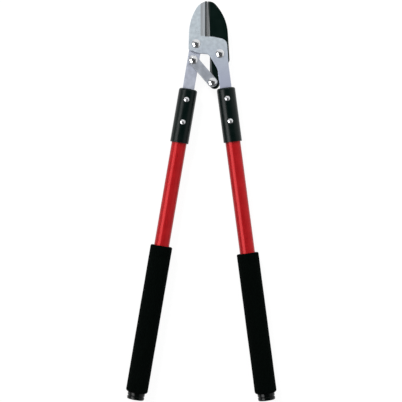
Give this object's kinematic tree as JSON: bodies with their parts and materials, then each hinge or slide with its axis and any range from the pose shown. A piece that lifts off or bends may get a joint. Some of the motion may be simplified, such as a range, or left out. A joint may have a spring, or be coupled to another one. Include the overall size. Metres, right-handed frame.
{
  "type": "anvil lopper",
  "caption": "Two-handed anvil lopper with a compound link, coated blade closing on an anvil jaw, red tube handles and black foam grips, lying flat and closed.",
  "frame": {"origin": "centre of the bottom of the closed tool's box, on the surface that it lies on", "axes": "+Y from the handles to the jaw tips, +X towards the blade side, +Z out of the bolt head side"},
  "size_m": [0.2528, 0.6714, 0.0371],
  "materials": {
    "jaw_steel": "satin",
    "anvil_metal": "matte",
    "blade_coating": "satin",
    "link_steel": "satin",
    "tang_steel": "satin",
    "hardware": "polished",
    "washer_bronze": "satin",
    "socket_plastic": "satin",
    "tube_paint": "gloss",
    "grip_foam": "matte",
    "cap_vinyl": "satin"
  },
  "bodies": {
    "anvil_frame": {"front_jaw_plate": "jaw_steel", "back_jaw_plate": "jaw_steel", "anvil": "anvil_metal", "anvil_rivet": "jaw_steel", "right_tang_spacer": "tang_steel", "frame_pivot_bolts": "hardware", "frame_pivot_nuts": "hardware", "frame_pivot_washers": "washer_bronze", "right_socket": "socket_plastic", "right_socket_rivets": "hardware", "right_tube": "tube_paint", "right_grip": "grip_foam", "right_end_cap": "cap_vinyl"},
    "left_handle": {"left_tang": "tang_steel", "upper_link_bolt": "hardware", "upper_link_nut": "hardware", "upper_link_washers": "washer_bronze", "left_socket": "socket_plastic", "left_socket_rivets": "hardware", "left_tube": "tube_paint", "left_grip": "grip_foam", "left_end_cap": "cap_vinyl"},
    "blade": {"blade": "blade_coating"},
    "link": {"front_link": "link_steel", "back_link": "link_steel", "lower_link_bolt": "hardware", "lower_link_nut": "hardware", "lower_link_washers": "washer_bronze"}
  },
  "joints": [
    {"name": "handle_hinge", "type": "hinge", "parent": "anvil_frame", "child": "left_handle", "pos_m": [-0.00871, 0.26446, 0.01855], "axis": [0, 0, -1], "range_deg": [0, 65]},
    {"name": "blade_hinge", "type": "hinge", "parent": "anvil_frame", "child": "blade", "pos_m": [0.03129, 0.24796, 0.01855], "axis": [0, 0, -1], "range_deg": [0, 36.6]},
    {"name": "link_hinge", "type": "hinge", "parent": "left_handle", "child": "link", "pos_m": [-0.01334, 0.23736, 0.01855], "axis": [0, 0, -1], "range_deg": [-60.6, 0]}
  ],
  "couplings": [
    {"joint": "blade_hinge", "follows": "handle_hinge", "ratio": 0.5621},
    {"joint": "link_hinge", "follows": "handle_hinge", "ratio": -0.9311}
  ]
}
